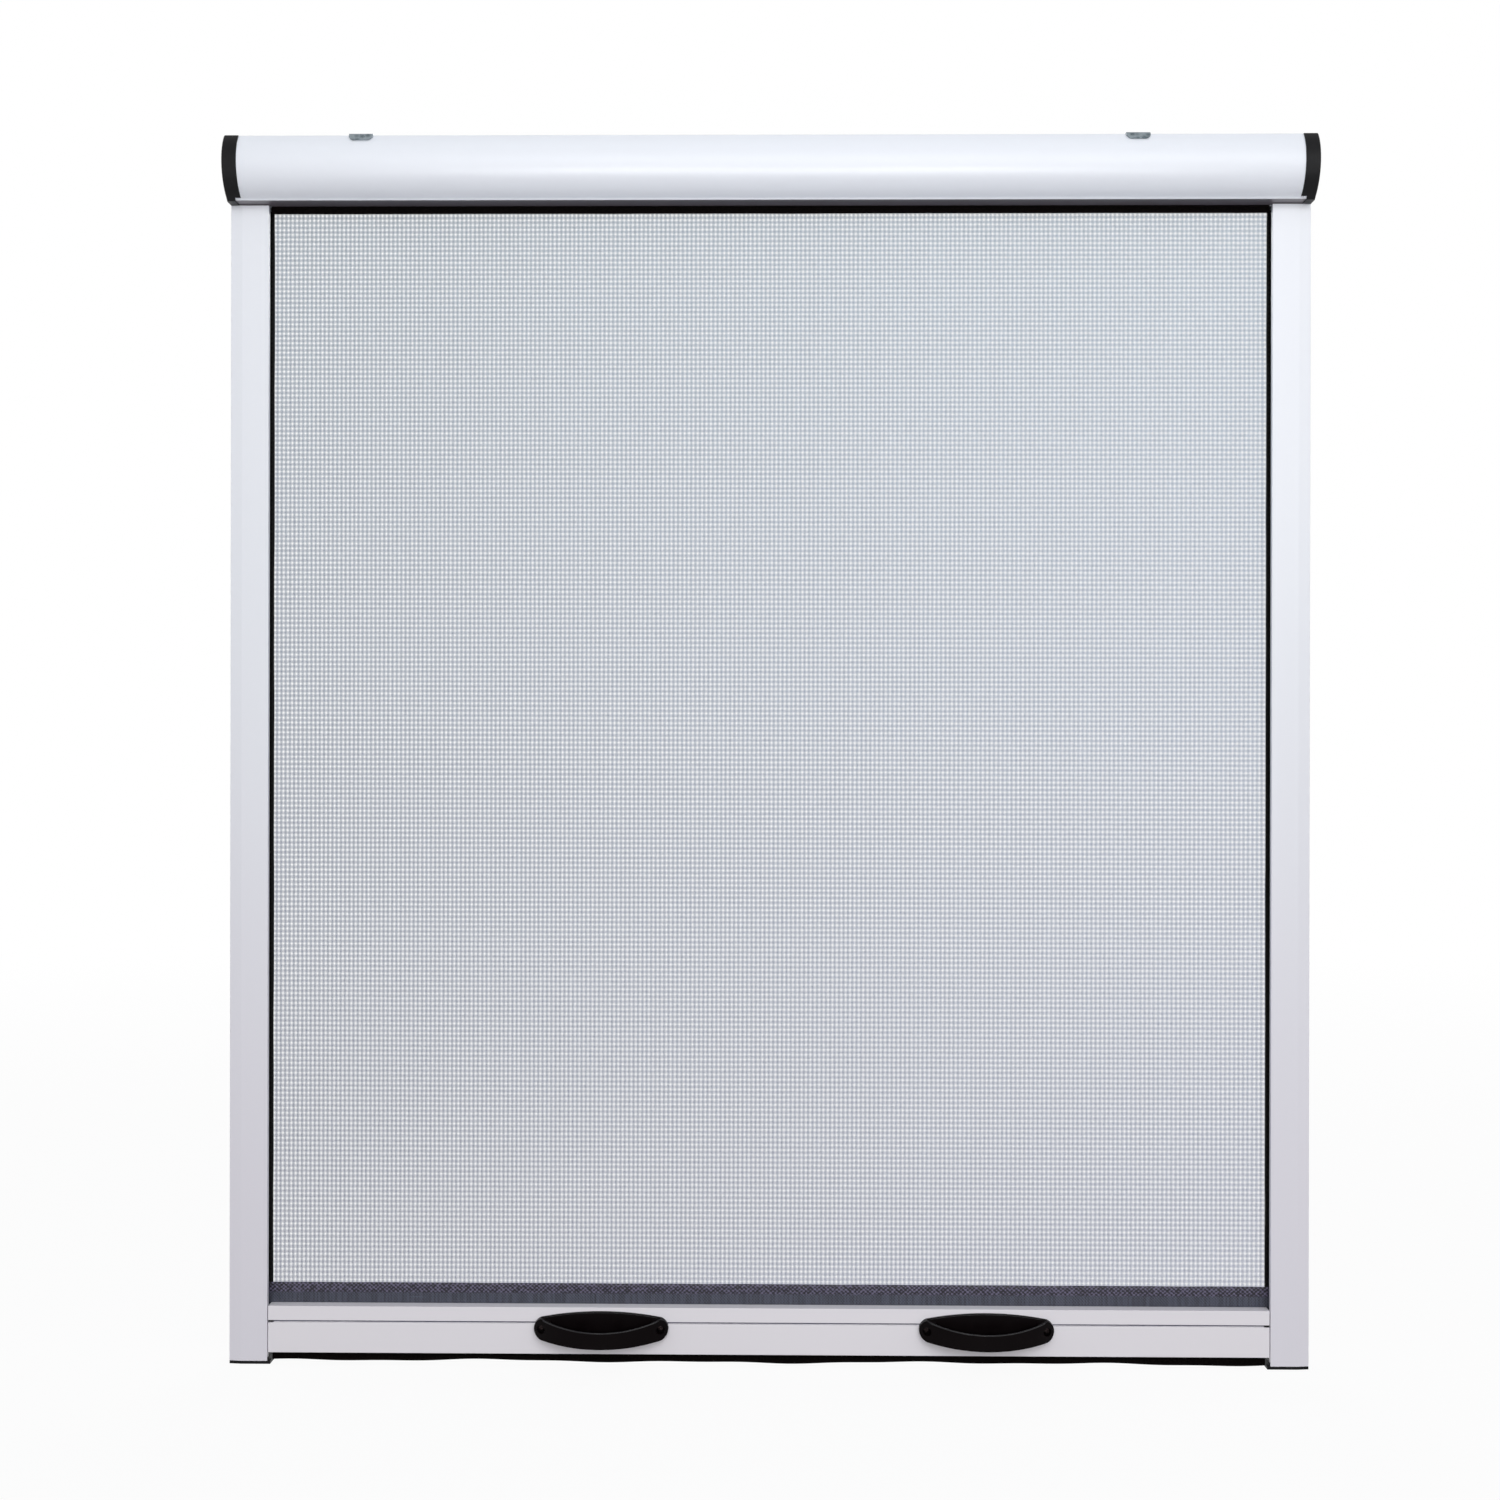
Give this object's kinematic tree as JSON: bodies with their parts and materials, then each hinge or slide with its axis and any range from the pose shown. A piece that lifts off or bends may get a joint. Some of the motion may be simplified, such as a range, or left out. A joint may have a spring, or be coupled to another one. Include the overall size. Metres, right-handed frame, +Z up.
{
  "type": "roll-up window screen frame",
  "caption": "Framed roll-up insect screen for a window: spring roller in a top cassette, side guides, mesh cloth and a pull bar with two finger pulls.",
  "frame": {"origin": "middle of the bounding box at sill level, under the feet", "axes": "+X to the right seen from the room, +Y towards the outside (wall side), +Z up; the room side faces -Y"},
  "size_m": [0.8, 0.048, 0.908],
  "materials": {
    "white_coat": "white powder coat on extruded aluminium",
    "black_pile": "dense black pile",
    "black_plastic": "moulded, satin",
    "zinc_sheet": "zinc plated spring sheet",
    "raw_aluminium": "mill finish",
    "grey_cord": "soft extruded cord",
    "mesh_cloth": "open insect mesh of coated yarn",
    "bright_steel": "bright zinc",
    "slate_tape": "embossed hem tape",
    "white_plastic": "moulded, satin gloss"
  },
  "bodies": {
    "frame": {"cassette": "white_coat", "cassette_brush": "black_pile", "end_cap_left": "black_plastic", "end_cap_right": "black_plastic", "guide_left": "white_coat", "guide_brush_front_left": "black_pile", "guide_brush_rear_left": "black_pile", "guide_foot_left": "black_plastic", "guide_right": "white_coat", "guide_brush_front_right": "black_pile", "guide_brush_rear_right": "black_pile", "guide_foot_right": "black_plastic", "mounting_clip_left": "zinc_sheet", "mounting_clip_right": "zinc_sheet", "spring_shaft": "bright_steel", "torsion_spring": "bright_steel", "idle_pin": "bright_steel", "screen_cloth": "mesh_cloth"},
    "bar": {"pull_bar": "white_coat", "hem_tape": "slate_tape", "hem_spline": "grey_cord", "bar_brush": "black_pile", "bar_end_left": "black_plastic", "bar_end_right": "black_plastic", "pull_handle_left": "white_plastic", "pull_handle_right": "white_plastic", "handle_screws": "bright_steel"},
    "roller": {"roller_tube": "raw_aluminium", "roller_spline": "grey_cord", "wound_cloth": "mesh_cloth", "roller_plug_left": "black_plastic", "roller_plug_right": "black_plastic"}
  },
  "joints": [
    {"name": "bar_slide", "type": "slide", "parent": "frame", "child": "bar", "axis": [0, 0, 1], "range_m": [0, 0.812], "deforming": ["screen_cloth"]},
    {"name": "roller_spin", "type": "hinge", "parent": "frame", "child": "roller", "pos_m": [0, 0.0005, 0.886], "axis": [1, 0, 0], "range_deg": [0, 3400]}
  ],
  "couplings": [
    {"joint": "roller_spin", "follows": "bar_slide", "rad_per_m": 72}
  ]
}
